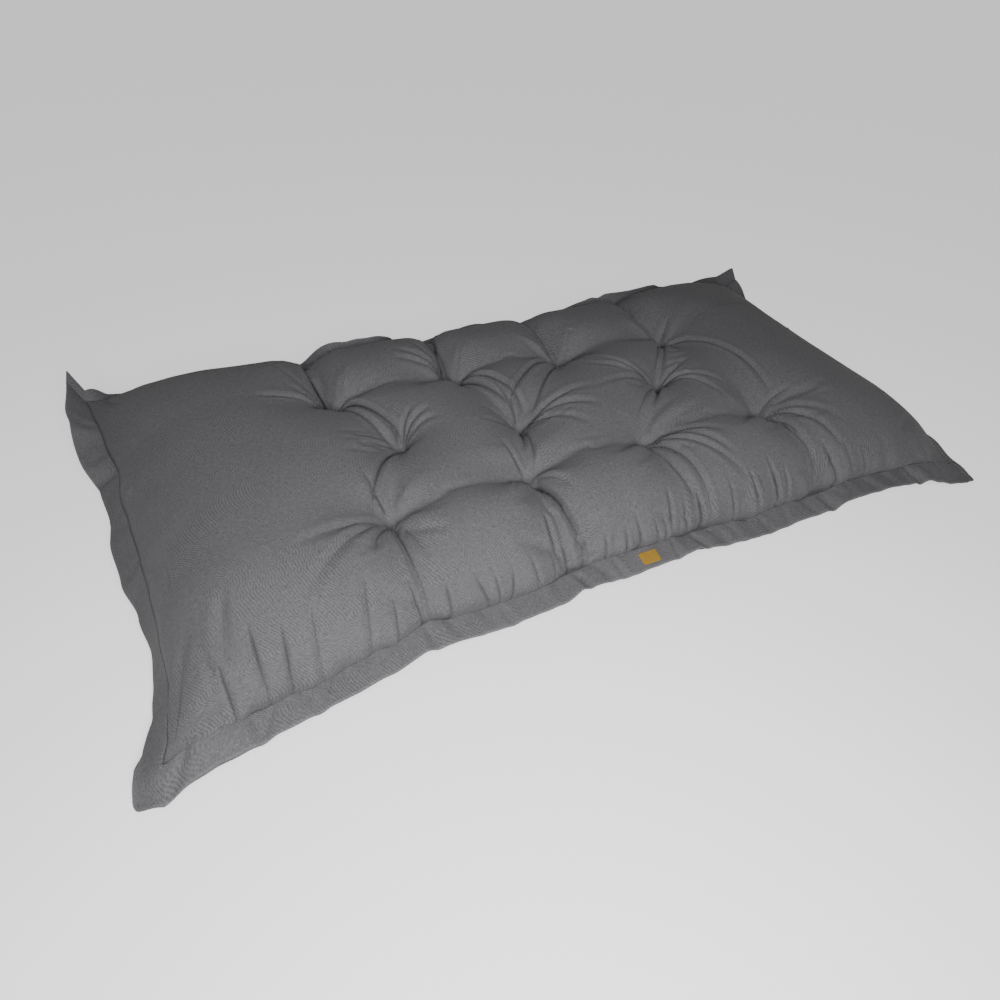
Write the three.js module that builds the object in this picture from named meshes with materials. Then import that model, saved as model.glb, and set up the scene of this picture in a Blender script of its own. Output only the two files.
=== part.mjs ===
// A tufted floor futon: two square-cornered panels sewn together a little inside their edge, so
// that a flat flange runs round a filled pillow, and tied through at eleven points in three
// staggered rows. Millimetres, +X along the length, +Y to the back, +Z up, lying on z = 0.
// The filled pillow and its flange are one solid. A small label and a side tab are sewn on.
import * as THREE from 'three';

// Driving dimensions.
const length = 1200;          // tip to tip of the ears, along X
const width = 608;            // tip to tip of the ears, along Y
const crown = 157;            // floor to the top of the pillow, at its middle
const lean = 6;               // how much higher than that the pillow is at the back
const flangeWidth = 37;
const flangeThickness = 3;
const tuftPitch = 189;        // between the columns of tufts
const rowOffset = 121.5;      // front and back rows from the middle row
const tuftTop = 96;           // height of the upper tuft points
const tuftBottom = 30;        // height of the lower ones
const sideInset = 54;         // from the ear tips to the middle of the long seams
const endInset = 46;          // and to the middle of the short ones
const shoulder = { front: 118, back: 98, left: 155, right: 215 }; // how far in it is full
const bulge = 9;              // how far the shoulders swell out past the seam
const valleySoft = 12;        // half width of the rounded bottom of a valley
const floorRoll = 22;         // how far the underside would hang below the floor if it were free

// The seam's corners and the tips of the four ears of flange: the front two fall to the floor,
// and the back two curl up.
const halfLength = length / 2;
const halfWidth = width / 2;
const corners = [
  { x: -1, y: -1, seam: [-566, -294, 36], tip: [-halfLength, -halfWidth, 4] },
  { x: 1, y: -1, seam: [561, -274, 29], tip: [halfLength, -halfWidth + 4, 4] },
  { x: -1, y: 1, seam: [-592, 288, 96], tip: [-halfLength, halfWidth, 144] },
  { x: 1, y: 1, seam: [560, 286, 84], tip: [halfLength, halfWidth, 116] },
];

// The four sides between the corners. At runs from -1 to 1 along the side, level is the height of
// the seam, bow is how far it stands out, and fall is how far the flange hangs, in degrees.
const sides = {
  front: [
    { at: -1, level: 36, bow: 0, fall: 34 },
    { at: -0.94, level: 44, bow: 0, fall: 14 },
    { at: -0.86, level: 43, bow: 3, fall: 0 },
    { at: -0.72, level: 46, bow: 5, fall: 0 },
    { at: -0.6, level: 51, bow: 3, fall: 4 },
    { at: -0.52, level: 57, bow: -1, fall: 0 },
    { at: -0.46, level: 52, bow: 0, fall: -3 },
    { at: -0.34, level: 50, bow: 4, fall: 0 },
    { at: -0.23, level: 50, bow: 2, fall: 0 },
    { at: -0.17, level: 53, bow: -1, fall: -18 },
    { at: -0.1, level: 58, bow: -2, fall: 12 },
    { at: -0.03, level: 56, bow: 0, fall: 4 },
    { at: 0.04, level: 55, bow: 0, fall: 0 },
    { at: 0.13, level: 52, bow: 0, fall: -20 },
    { at: 0.2, level: 51, bow: 2, fall: 2 },
    { at: 0.3, level: 48, bow: 5, fall: 2 },
    { at: 0.44, level: 48, bow: 1, fall: 4 },
    { at: 0.53, level: 45, bow: 2, fall: -4 },
    { at: 0.6, level: 54, bow: -1, fall: 3 },
    { at: 0.72, level: 52, bow: 0, fall: -4 },
    { at: 0.82, level: 51, bow: 0, fall: 8 },
    { at: 1, level: 29, bow: 0, fall: 20 },
  ],
  back: [
    { at: -1, level: 96, bow: 0, fall: -50 },
    { at: -0.9, level: 84, bow: 0, fall: 4 },
    { at: -0.75, level: 86, bow: 2, fall: 6 },
    { at: -0.53, level: 86, bow: 0, fall: -8 },
    { at: -0.4, level: 102, bow: 0, fall: -62 },
    { at: -0.28, level: 102, bow: 0, fall: -62 },
    { at: -0.15, level: 84, bow: 2, fall: -12 },
    { at: 0.04, level: 86, bow: 0, fall: -44 },
    { at: 0.17, level: 82, bow: 2, fall: -14 },
    { at: 0.32, level: 84, bow: 0, fall: -34 },
    { at: 0.48, level: 95, bow: -2, fall: -62 },
    { at: 0.66, level: 94, bow: 0, fall: -52 },
    { at: 0.84, level: 84, bow: 0, fall: -16 },
    { at: 1, level: 84, bow: 0, fall: -40 },
  ],
  left: [
    { at: -1, level: 36, bow: 0, fall: 34 },
    { at: -0.92, level: 40, bow: -6, fall: 44 },
    { at: -0.76, level: 44, bow: -10, fall: 50 },
    { at: -0.5, level: 54, bow: -5, fall: 66 },
    { at: -0.3, level: 58, bow: -1, fall: 57 },
    { at: -0.12, level: 62, bow: 3, fall: 40 },
    { at: 0.1, level: 66, bow: 8, fall: 38 },
    { at: 0.28, level: 70, bow: 13, fall: 54 },
    { at: 0.45, level: 75, bow: 8, fall: 42 },
    { at: 0.62, level: 80, bow: 12, fall: 16 },
    { at: 0.82, level: 91, bow: 8, fall: -30 },
    { at: 1, level: 96, bow: 0, fall: -50 },
  ],
  right: [
    { at: -1, level: 29, bow: 0, fall: 20 },
    { at: -0.8, level: 46, bow: 0, fall: 18 },
    { at: -0.5, level: 54, bow: 2, fall: 20 },
    { at: -0.1, level: 60, bow: 0, fall: 24 },
    { at: 0.25, level: 66, bow: 0, fall: 30 },
    { at: 0.52, level: 72, bow: 0, fall: 6 },
    { at: 0.78, level: 78, bow: 0, fall: 14 },
    { at: 1, level: 84, bow: 0, fall: -40 },
  ],
};

// Trims sewn to the flange. At and across are along the side; from and to are out from the seam.
const labelSize = { side: 'front', at: 1, across: 25, from: 8.6, to: 26.8, rise: 2.35, thickness: 1 };
const tabSize = { side: 'right', at: 120, across: 30, from: 37.6, to: 58, rise: 0, thickness: 1.2 };

// Tufts. Column and row are in pitches; the middle row is tied unevenly.
const tufts = {
  back1: { column: -1.5, row: 1 },
  back2: { column: -0.5, row: 1 },
  back3: { column: 0.5, row: 1 },
  back4: { column: 1.5, row: 1 },
  middle1: { column: -1.1, row: 0 },
  middle2: { column: -0.2, row: -1 / 6 },
  middle3: { column: 1, row: 0 },
  front1: { column: -1.5, row: -1 },
  front2: { column: -0.5, row: -1 },
  front3: { column: 0.5, row: -1 },
  front4: { column: 1.5, row: -1 },
};

// Valleys from tuft to tuft, or from a tuft straight to the seam, leaning along it. Depth is below
// the crown at mid length, and reach is how far to each side the cloth slopes down to it.
const valleys = [
  { from: 'back1', to: 'back2', depth: 16, reach: 54 },
  { from: 'back2', to: 'back3', depth: 14, reach: 54 },
  { from: 'back3', to: 'back4', depth: 14, reach: 54 },
  { from: 'front1', to: 'front2', depth: 16, reach: 54 },
  { from: 'front2', to: 'front3', depth: 16, reach: 54 },
  { from: 'front3', to: 'front4', depth: 15, reach: 54 },
  { from: 'back1', to: 'middle1', depth: 24, reach: 50 },
  { from: 'back2', to: 'middle2', depth: 26, reach: 50 },
  { from: 'back3', to: 'middle2', depth: 20, reach: 50 },
  { from: 'back4', to: 'middle3', depth: 22, reach: 46 },
  { from: 'back4', to: 'front4', depth: 10, reach: 54 },
  { from: 'front1', to: 'middle1', depth: 26, reach: 50 },
  { from: 'front2', to: 'middle2', depth: 28, reach: 50 },
  { from: 'front3', to: 'middle3', depth: 20, reach: 50 },
  { from: 'back1', lean: 0, depth: 28, reach: 60 },
  { from: 'back2', lean: 8, depth: 30, reach: 60 },
  { from: 'back3', lean: -6, depth: 26, reach: 60 },
  { from: 'back4', lean: -8, depth: 34, reach: 60 },
  { from: 'front1', lean: -4, depth: 22, reach: 66 },
  { from: 'front2', lean: -2, depth: 34, reach: 60 },
  { from: 'front3', lean: 6, depth: 22, reach: 66 },
  { from: 'front4', lean: 14, depth: 26, reach: 66 },
];

const clamp = THREE.MathUtils.clamp;
const mix = THREE.MathUtils.lerp;

// Reads a column of a side's table at a place along it, easing from row to row.
function alongSide(rows, at, column) {
  const next = clamp(rows.findIndex((row) => row.at >= at), 1, rows.length - 1);
  const before = rows[next - 1];
  const t = clamp((at - before.at) / (rows[next].at - before.at), 0, 1);
  return mix(before[column], rows[next][column], t * t * (3 - 2 * t));
}

// Rises from 0 at a seam to 1 where the pillow is full: steeply along the sides, easier at the ends.
const sideRise = (inset, reach) => (1 - (1 - clamp(inset / reach, 0, 1)) ** 2.3) ** 0.56;
const endRise = (inset, reach) => (1 - (1 - clamp(inset / reach, 0, 1)) ** 2) ** 0.78;

// Swells just inside the seam and dies away over the shoulder.
const swell = (inset, reach) => {
  const t = clamp(inset / reach, 0, 1);
  return 3.4 * Math.sqrt(t) * (1 - t) ** 4;
};

// 1 in the bottom of a valley, rounded by its soft half width, and 0 where its slope has met the
// pillow on either side.
const valleyShape = (distance, reach) => {
  const away = Math.hypot(distance, valleySoft) - valleySoft;
  const left = 1 - clamp(away / (reach - valleySoft), 0, 1);
  return 1 - (1 - left ** 2) ** 0.8;
};

const tuftPlace = ({ column, row }) => new THREE.Vector2(column * tuftPitch, row * rowOffset);

const folds = valleys.map(({ from, to, lean, depth, reach }) => {
  const start = tuftPlace(tufts[from]);
  const end = to ? tuftPlace(tufts[to])
    : new THREE.Vector2(start.x + lean, Math.sign(start.y) * (halfWidth - sideInset));
  return { start, along: end.sub(start), depth, reach, toSeam: !to };
});

// How far the upper panel is pulled down at a place, as a part of the pull at a tuft. Where
// valleys run together the deeper one wins.
function pull(x, y) {
  let sum = 0;
  let weight = 0;
  for (const { start, along, depth, reach, toSeam } of folds) {
    const dx = x - start.x;
    const dy = y - start.y;
    const t = clamp((dx * along.x + dy * along.y) / along.lengthSq(), 0, 1);
    const distance = Math.hypot(dx - along.x * t, dy - along.y * t);
    const atEnds = toSeam ? (1 - t) ** 2 : (2 * t - 1) ** 2;
    const level = mix(depth / (crown - tuftTop), 1, atEnds) * valleyShape(distance, reach);
    const share = Math.expm1(14 * level);
    sum += level * share;
    weight += share;
  }
  return weight > 0 ? sum / weight : 0;
}

// The seam, spread over the whole pillow so that each grid line runs from seam to seam: u and v
// go from -1 to 1. Returns the place in plan and the seam's height there.
function seamSheet(u, v) {
  const place = { x: 0, y: 0, level: 0 };
  for (const corner of corners) {
    const share = ((1 + corner.x * u) / 2) * ((1 + corner.y * v) / 2);
    place.x += share * corner.seam[0];
    place.y += share * corner.seam[1];
    place.level += share * corner.seam[2];
  }
  const middleX = halfLength - endInset;
  const middleY = halfWidth - sideInset;
  const drawnX = 1 - Math.abs(v) ** 3;
  const drawnY = 1 - Math.abs(u) ** 3.2;
  const bowX = alongSide(sides[u < 0 ? 'left' : 'right'], v, 'bow');
  const bowY = alongSide(sides[v < 0 ? 'front' : 'back'], u, 'bow');
  place.x = mix(place.x, u * middleX, drawnX) + Math.sign(u) * bowX * Math.abs(u) ** 3;
  place.y = mix(place.y, v * middleY, drawnY) + Math.sign(v) * bowY * Math.abs(v) ** 3;
  const ends = [alongSide(sides.left, v, 'level'), alongSide(sides.right, v, 'level')];
  const longs = [alongSide(sides.front, u, 'level'), alongSide(sides.back, u, 'level')];
  place.level = mix(ends[0], ends[1], (1 + u) / 2) + mix(longs[0], longs[1], (1 + v) / 2) - place.level;
  return place;
}

// The pillow: half is half the flange's thickness, positive for the upper panel.
function pillowPoint(u, v, half) {
  const { x, y, level } = seamSheet(u, v);
  const insetX = (1 - Math.abs(u)) * (halfLength - endInset);
  const insetY = (1 - Math.abs(v)) * (halfWidth - sideInset);
  const reachX = shoulder[u < 0 ? 'left' : 'right'];
  const reachY = shoulder[v < 0 ? 'front' : 'back'];
  const ends = endRise(insetX, reachX);
  const longs = sideRise(insetY, reachY);
  const fill = ends * longs;
  const drop = pull(x, y);
  const out = bulge * (1 - 1.3 * drop);
  const px = x + 0.5 * Math.sign(u) * out * swell(insetX, reachX) * longs;
  const py = y + Math.sign(v) * out * swell(insetY, reachY) * ends;
  if (half > 0) {
    const top = crown + lean * v;
    const z = mix(level + half, top, fill);
    return new THREE.Vector3(px, py, z - (top - tuftTop) * drop * Math.min(1, 1.3 * fill));
  }
  const under = mix(level + half, -floorRoll, fill);
  const lift = Math.max(0, drop - 0.3) / 0.7;
  return new THREE.Vector3(px, py, Math.max(0, under) + tuftBottom * lift * fill);
}

// The flange as two arms at each corner, one along each side that meets there: half of the way to
// the ear's tip, spread so that both are a flange's width long.
const arms = corners.map((corner) => {
  const reach = new THREE.Vector3(...corner.tip).sub(new THREE.Vector3(...corner.seam));
  const spread = new THREE.Vector3(-corner.x * Math.abs(reach.y), corner.y * Math.abs(reach.x), 0);
  spread.setLength(Math.sqrt(Math.max(0, flangeWidth ** 2 - reach.lengthSq() / 4)));
  const half = reach.multiplyScalar(0.5);
  return { ...corner, overEnd: half.clone().sub(spread), overSide: half.clone().add(spread) };
});

function arm(u, v, overEnd) {
  const along = overEnd ? v : u;
  const rows = overEnd ? sides[u < 0 ? 'left' : 'right'] : sides[v < 0 ? 'front' : 'back'];
  const fall = THREE.MathUtils.degToRad(alongSide(rows, along, 'fall'));
  const out = Math.cos(fall) * flangeWidth;
  const straight = overEnd
    ? new THREE.Vector3(Math.sign(u) * out, 0, -Math.sin(fall) * flangeWidth)
    : new THREE.Vector3(0, Math.sign(v) * out, -Math.sin(fall) * flangeWidth);
  const corner = arms.find(({ x, y }) => x * u >= 0 && y * v >= 0);
  return straight.lerp(overEnd ? corner.overEnd : corner.overSide, Math.abs(along) ** 9);
}

// The flange, at a and b times its width beyond the seam, and half its thickness up or down.
function flangePoint(u, v, a, b, half) {
  const { x, y, level } = seamSheet(u, v);
  const point = new THREE.Vector3(x, y, level);
  if (a) point.addScaledVector(arm(u, v, true), Math.abs(a));
  if (b) point.addScaledVector(arm(u, v, false), Math.abs(b));
  point.z = Math.max(point.z, flangeThickness) + half;
  return point;
}

// Grid lines of the panels: pillow cells between the seams, finer at the shoulders, then flange.
const columnAt = (column) => (column * tuftPitch) / (halfLength - endInset);
const rowAt = (row) => (row * rowOffset) / (halfWidth - sideInset);
const seamEase = 1.5;
const spans = (knots) => knots.slice(1).flatMap(({ at, cells, ease }, i) => (
  Array.from({ length: cells }, (_, k) => {
    const t = (k + 1) / cells;
    const eased = { in: t ** seamEase, out: 1 - (1 - t) ** seamEase }[ease] ?? t;
    return mix(knots[i].at, at, eased);
  })));
const linesU = [-1, ...spans([
  { at: -1 },
  { at: columnAt(-1.5), cells: 13, ease: 'in' },
  { at: columnAt(-0.5), cells: 10 },
  { at: columnAt(0.5), cells: 10 },
  { at: columnAt(1.5), cells: 10 },
  { at: 1, cells: 13, ease: 'out' },
])];
const linesV = [-1, ...spans([
  { at: -1 },
  { at: rowAt(-1), cells: 8, ease: 'in' },
  { at: 0, cells: 6 },
  { at: rowAt(1), cells: 6 },
  { at: 1, cells: 8, ease: 'out' },
])];
const flangeCells = 3;

const withFlange = (lines) => [
  ...Array.from({ length: flangeCells }, (_, k) => ({ at: -1, beyond: k / flangeCells - 1 })),
  ...lines.map((at) => ({ at, beyond: 0 })),
  ...Array.from({ length: flangeCells }, (_, k) => ({ at: 1, beyond: (k + 1) / flangeCells })),
];

// A closed solid between an upper and a lower grid of points, given row by row, that share one rim.
function closedSheet(points, columnCount, rowCount, flipped = false) {
  const index = [];
  const upper = (i, j) => j * columnCount + i;
  const lower = (i, j) => (rowCount + j) * columnCount + i;
  const quad = (...ring) => {
    const [a, b, c, d] = flipped ? ring.reverse() : ring;
    const acrossFirst = points[a].distanceTo(points[c]) <= points[b].distanceTo(points[d]);
    index.push(...(acrossFirst ? [a, b, c, a, c, d] : [a, b, d, b, c, d]));
  };
  const lastI = columnCount - 1;
  const lastJ = rowCount - 1;
  for (let j = 0; j < lastJ; j += 1) {
    for (let i = 0; i < lastI; i += 1) {
      quad(upper(i, j), upper(i + 1, j), upper(i + 1, j + 1), upper(i, j + 1));
      quad(lower(i, j), lower(i, j + 1), lower(i + 1, j + 1), lower(i + 1, j));
    }
  }
  const rim = [];
  for (let i = 0; i < lastI; i += 1) rim.push([i, 0]);
  for (let j = 0; j < lastJ; j += 1) rim.push([lastI, j]);
  for (let i = lastI; i > 0; i -= 1) rim.push([i, lastJ]);
  for (let j = lastJ; j > 0; j -= 1) rim.push([0, j]);
  rim.forEach((here, k) => {
    const next = rim[(k + 1) % rim.length];
    quad(lower(...here), lower(...next), upper(...next), upper(...here));
  });
  const geometry = new THREE.BufferGeometry().setFromPoints(points);
  geometry.setIndex(index);
  geometry.computeVertexNormals();
  return geometry;
}

function cushionGeometry() {
  const columns = withFlange(linesU);
  const rows = withFlange(linesV);
  const points = [];
  for (const above of [1, -1]) {
    for (const row of rows) {
      for (const column of columns) {
        const inside = Math.abs(column.at) < 1 && Math.abs(row.at) < 1;
        const half = above * flangeThickness / 2;
        points.push(inside
          ? pillowPoint(column.at, row.at, half)
          : flangePoint(column.at, row.at, column.beyond, row.beyond, half));
      }
    }
  }
  return closedSheet(points, columns.length, rows.length);
}

// A place on a side's flange between two grid lines, as flat as the cushion's own facets there.
// At is in millimetres from the side's middle, and beyond is in flange widths from the seam.
function sidePoint(side, at, beyond) {
  const alongEnd = side === 'left' || side === 'right';
  const half = alongEnd ? halfWidth - sideInset : halfLength - endInset;
  const sign = side === 'left' || side === 'front' ? -1 : 1;
  const lines = alongEnd ? linesV : linesU;
  const next = lines.findIndex((line) => line > at / half);
  const [low, high] = [lines[next - 1], lines[next]];
  const place = (line) => (alongEnd
    ? flangePoint(sign, line, beyond * sign, 0, 0)
    : flangePoint(line, sign, 0, beyond * sign, 0));
  return place(low).lerp(place(high), (at / half - low) / (high - low));
}

// A thin closed plate along a side's flange. Its place and width are along the side, from and to
// are in millimetres from the seam, and rise is above the middle of the flange.
function plateGeometry({ side, at, across, from, to, rise, thickness }) {
  const columns = 7;
  const rows = 5;
  const points = [];
  for (const layer of [rise + thickness / 2, rise - thickness / 2]) {
    for (let j = 0; j < rows; j += 1) {
      for (let i = 0; i < columns; i += 1) {
        const here = at + across * (i / (columns - 1) - 0.5);
        const beyond = mix(from, to, j / (rows - 1)) / flangeWidth;
        const point = sidePoint(side, here, beyond);
        const along = sidePoint(side, here + 0.1, beyond).sub(point);
        const out = sidePoint(side, here, beyond + 0.1).sub(point);
        const up = along.cross(out).normalize();
        points.push(point.addScaledVector(up, Math.sign(up.z) * layer));
      }
    }
  }
  return closedSheet(points, columns, rows, side === 'front' || side === 'right');
}

const cloth = new THREE.MeshStandardMaterial({ color: '#6a696b', roughness: 0.92, metalness: 0 });
const mustard = new THREE.MeshStandardMaterial({ color: '#a8832d', roughness: 0.7, metalness: 0 });
const black = new THREE.MeshStandardMaterial({ color: '#111012', roughness: 0.6, metalness: 0 });

const futon = new THREE.Group();
const cushion = new THREE.Mesh(cushionGeometry(), cloth);
cushion.name = 'cushion';

const label = new THREE.Mesh(plateGeometry(labelSize), mustard);
label.name = 'label';

const sideTab = new THREE.Mesh(plateGeometry(tabSize), black);
sideTab.name = 'side_tab';

// The origin is under the middle of the whole box, on the floor.
futon.add(cushion, label, sideTab);
const box = new THREE.Box3().setFromObject(futon);
futon.position.set(-(box.min.x + box.max.x) / 2, -(box.min.y + box.max.y) / 2, -box.min.z);

export default futon;
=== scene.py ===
import math

import bpy
import numpy as np
from mathutils import Matrix, Vector


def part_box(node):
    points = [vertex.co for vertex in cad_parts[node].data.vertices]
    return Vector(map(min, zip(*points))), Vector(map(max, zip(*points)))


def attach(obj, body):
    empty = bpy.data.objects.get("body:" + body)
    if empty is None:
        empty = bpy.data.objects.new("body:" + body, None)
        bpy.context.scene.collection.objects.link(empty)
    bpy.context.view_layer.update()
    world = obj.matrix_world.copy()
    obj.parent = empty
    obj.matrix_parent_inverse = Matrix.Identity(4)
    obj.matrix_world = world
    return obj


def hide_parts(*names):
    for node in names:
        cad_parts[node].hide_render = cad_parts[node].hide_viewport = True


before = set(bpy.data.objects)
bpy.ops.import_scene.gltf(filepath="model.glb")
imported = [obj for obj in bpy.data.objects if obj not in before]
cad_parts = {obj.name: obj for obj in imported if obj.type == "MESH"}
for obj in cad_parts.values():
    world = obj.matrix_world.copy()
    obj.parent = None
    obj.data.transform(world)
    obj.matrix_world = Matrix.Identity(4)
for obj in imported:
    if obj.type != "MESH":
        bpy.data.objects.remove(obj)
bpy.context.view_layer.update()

# A tufted floor futon lying on its back. The tables of the cushion, the label and the tab are in
# millimetres. Meshes, stitches, bump, lamps and camera are in metres.

scene = bpy.context.scene


# the form of the cushion, by the same rules as the solids, with values of its own: the tufts, the
# pillows' height and shoulders, the front's overhang, the ears and the flange all differ a little

form = {
    "halfLength": 600.0,
    "halfWidth": 304.0,
    "crown": 143.0,              # height of the slack pillows, before they are filled
    "lean": 14.0,                # how much higher than that they are at the back
    "flangeWidth": 36.0,
    "frontFlange": 31.5,         # the front one is drawn a little further under the pillow
    "frontEarRound": 0.22,       # rounding of the ears' tips, in widths of the flange
    "backEarRound": 0.12,
    "frontEarHold": 9.0,         # the higher, the shorter the part of the side that an ear turns
    "backEarHold": 20.0,
    "flangeThickness": 3.0,
    "tuftPitch": 184.0,
    "rowOffset": 118.0,
    "tuftShift": (-13.0, -17.0),
    "tuftTop": 102.0,
    "tuftBottom": 30.0,
    "sideInset": 54.0,
    "endInset": 46.0,
    "frontShoulder": 118.0,
    "backShoulder": 86.0,
    "leftShoulder": 155.0,
    "rightShoulder": 205.0,
    "bulge": 9.0,
    "frontBulge": 33.0,          # the front hangs over its seam
    "valleySoft": 9.0,
    "floorRoll": 22.0,
    "seamWander": 1.0,
    "endRise": (2, 0.66),        # how the pillow climbs from its short seams: steepness, flatness on top
    "sideRise": (2.3, 0.56),     # and from its long ones
    "endBow": 3,                 # the higher, the nearer to the corners a side bends out to them
    "sideBow": 3.2,
    "pullSharpness": 14,         # how far the strongest pull at a place outweighs the others
}

seamWaves = {  # rate, start and size of the waves that make the long seams wander
    "aside": [(43, 1.3, 1), (67, 0.4, 0.8), (109, 2.2, 0.7)],
    "upward": [(37, 0.2, 1), (73, 1.9, 0.8), (101, 0.7, 0.7)],
}

corners = [  # place in plan, the seam's corner, the ear's tip, the end's share of its reach, its spread
    ((-1, -1), (-566, -294, 36), (-602, -311, 4), 0.5, 25),
    ((1, -1), (561, -274, 29), (600, -301, 4), 0.5, 24),
    ((-1, 1), (-592, 288, 96), (-601, 305, 149), 0.7, 8),
    ((1, 1), (560, 286, 84), (600, 304, 118), 0.56, 20),
]

sides = {  # along the side, height of the seam, how far it bows out, fall of the flange in degrees
    "front": [
        (-1, 36, 0, 34), (-0.94, 44, 0, 20), (-0.86, 43, 3, 8), (-0.72, 46, 5, 8), (-0.6, 51, 3, 13),
        (-0.52, 57, -1, 14), (-0.46, 52, 0, 8), (-0.34, 50, 4, 13), (-0.23, 50, 2, 12),
        (-0.17, 53, -1, -2), (-0.1, 58, -2, 20), (-0.03, 56, 0, 14), (0.04, 55, 0, 12),
        (0.13, 52, 0, -4), (0.2, 51, 2, 14), (0.3, 48, 5, 14), (0.44, 48, 1, 15), (0.53, 45, 2, 6),
        (0.6, 54, -1, 15), (0.72, 52, 0, 8), (0.82, 51, 0, 16), (1, 29, 0, 20),
    ],
    "back": [
        (-1, 96, 0, -50), (-0.95, 88, 0, 6), (-0.75, 86, 2, 6), (-0.48, 86, 0, -8), (-0.38, 98, 0, -62),
        (-0.28, 98, 0, -62), (-0.15, 84, 2, -12), (0.04, 86, 0, -44), (0.17, 82, 2, -14),
        (0.32, 84, 0, -34), (0.48, 95, -2, -62), (0.66, 94, 0, -52), (0.84, 84, 0, -16), (1, 84, 0, -40),
    ],
    "left": [
        (-1, 36, 0, 34), (-0.92, 40, -6, 44), (-0.76, 44, -10, 50), (-0.5, 54, -5, 66),
        (-0.3, 58, -1, 57), (-0.12, 62, 3, 40), (0.1, 66, 8, 38), (0.28, 70, 13, 54),
        (0.45, 75, 8, 36), (0.62, 80, 12, 4), (0.82, 91, 8, -32), (1, 96, 0, -50),
    ],
    "right": [
        (-1, 29, 0, 20), (-0.8, 46, 0, 18), (-0.5, 54, 2, 20), (-0.1, 60, 0, 24), (0.25, 66, 0, 30),
        (0.52, 72, 0, 6), (0.78, 78, 0, 14), (1, 84, 0, -40),
    ],
}

tufts = {  # column in pitches, row in row offsets
    "back1": (-1.49, 1.04), "back2": (-0.5, 1.07), "back3": (0.48, 0.98), "back4": (1.48, 0.91),
    "middle1": (-1.16, 0.03), "middle2": (-0.28, -0.14), "middle3": (1.04, -0.01),
    "front1": (-1.48, -1.03), "front2": (-0.5, -0.97), "front3": (0.47, -0.93), "front4": (1.53, -1.02),
}

valleys = [  # from a tuft, to a tuft or leaning to the seam, depth at mid length, reach
    ("back1", "back2", 9, 50), ("back2", "back3", 8, 50), ("back3", "back4", 8, 50),
    ("front1", "front2", 9, 50), ("front2", "front3", 9, 50), ("front3", "front4", 8, 50),
    ("back1", "middle1", 11, 44), ("back2", "middle2", 12, 44), ("back3", "middle2", 9, 44),
    ("back4", "middle3", 10, 40), ("back4", "front4", 4, 50), ("front1", "middle1", 12, 44),
    ("front2", "middle2", 14, 44), ("front3", "middle3", 9, 44),
    ("back1", 0, 16, 48), ("back2", 6, 13, 38), ("back3", -6, 14, 46), ("back4", -8, 20, 46),
    ("front1", -4, 10, 54), ("front2", -2, 20, 48), ("front3", 6, 9, 54), ("front4", 14, 12, 54),
]

middleX = form["halfLength"] - form["endInset"]
middleY = form["halfWidth"] - form["sideInset"]


def ease(t):
    t = np.clip(t, 0, 1)
    return t * t * (3 - 2 * t)


def alongSide(side, at, column):
    rows = np.array(sides[side], float)
    after = np.clip(np.searchsorted(rows[:, 0], at), 1, len(rows) - 1)
    low, high = rows[after - 1], rows[after]
    t = ease((at - low[..., 0]) / (high[..., 0] - low[..., 0]))
    return low[..., column] + (high[..., column] - low[..., column]) * t


def rise(inset, reach, powers):
    return (1 - (1 - np.clip(inset / reach, 0, 1)) ** powers[0]) ** powers[1]


def swell(inset, reach):
    # a soft bump, highest at a fifteenth of the reach
    t = np.clip(inset / reach, 0, 1)
    return 4.4 * np.sqrt(t) * (1 - t) ** 7


def tuftPlace(name):
    column, row = tufts[name]
    shift = form["tuftShift"]
    return np.array([column * form["tuftPitch"] + shift[0], row * form["rowOffset"] + shift[1]])


def segmentNear(x, y, a, b):
    # how far along the line from a to b a point lies, and how far off it
    along = b - a
    t = np.clip(((x - a[0]) * along[0] + (y - a[1]) * along[1]) / (along @ along), 0, 1)
    return t, np.hypot(x - a[0] - along[0] * t, y - a[1] - along[1] * t)


def pull(x, y):
    # how far the panel is drawn in, as a part of the pull at a tuft
    total = np.zeros_like(x)
    weight = np.zeros_like(x)
    full = form["crown"] - form["tuftTop"]
    soft = form["valleySoft"]
    for start, end, depth, reach in valleys:
        a = tuftPlace(start)
        toSeam = not isinstance(end, str)
        b = np.array([a[0] + end, np.sign(a[1]) * middleY]) if toSeam else tuftPlace(end)
        t, away = segmentNear(x, y, a, b)
        away = np.hypot(away, soft) - soft
        left = 1 - np.clip(away / (reach - soft), 0, 1)
        atEnds = (1 - t) ** 2 if toSeam else (2 * t - 1) ** 2
        level = (depth / full + (1 - depth / full) * atEnds) * (1 - (1 - left ** 2) ** 0.8)
        share = np.expm1(form["pullSharpness"] * level)
        total += level * share
        weight += share
    return total / np.maximum(weight, 1e-9)


def seamWave(u, way):
    return sum(size * np.sin(rate * u + start) for rate, start, size in seamWaves[way])


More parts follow.
